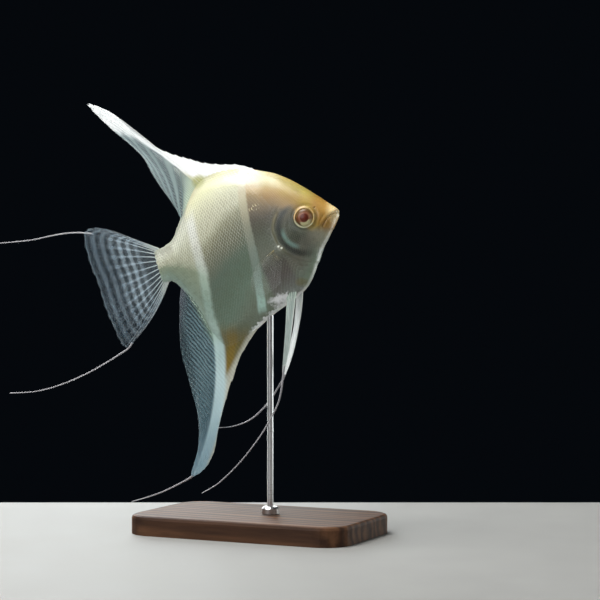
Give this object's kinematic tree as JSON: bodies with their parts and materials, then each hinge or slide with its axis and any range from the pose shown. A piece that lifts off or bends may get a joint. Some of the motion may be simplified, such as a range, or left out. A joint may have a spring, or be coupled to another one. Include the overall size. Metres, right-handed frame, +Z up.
{
  "type": "freshwater angelfish model",
  "caption": "Life-size still model of a pale long-finned freshwater angelfish, tilted nose up as it swims, on a rod over a flat wooden base.",
  "frame": {"origin": "centre of the stand base's underside, at z = 0", "axes": "+Z up, +X the way the fish faces, its right side towards -Y; the fish is held 18 degrees nose up and the base is level"},
  "size_m": [0.1842, 0.06, 0.1854],
  "materials": {
    "skin": "pearly scaled skin",
    "forehead": "moist bare skin",
    "fin": "thin web between fine rays",
    "eye": "clear and wet",
    "stand_wood": "satin walnut",
    "stand_steel": "fine brushed"
  },
  "bodies": {
    "root": {"head": "forehead", "lower_jaw": "skin", "gill_cover_left": "skin", "gill_cover_right": "skin", "trunk": "skin", "tail_stalk": "skin", "eye_left": "eye", "eye_right": "eye", "dorsal_fin": "fin", "anal_fin": "fin", "anal_streamer": "fin", "caudal_fin": "fin", "caudal_streamer_upper": "fin", "caudal_streamer_lower": "fin", "pectoral_fin_left": "fin", "pectoral_fin_right": "fin", "pelvic_fin_left": "fin", "pelvic_fin_right": "fin", "pelvic_streamer_left": "fin", "pelvic_streamer_right": "fin", "stand_base": "stand_wood", "stand_collar": "stand_steel", "stand_rod": "stand_steel"}
  },
  "joints": []
}
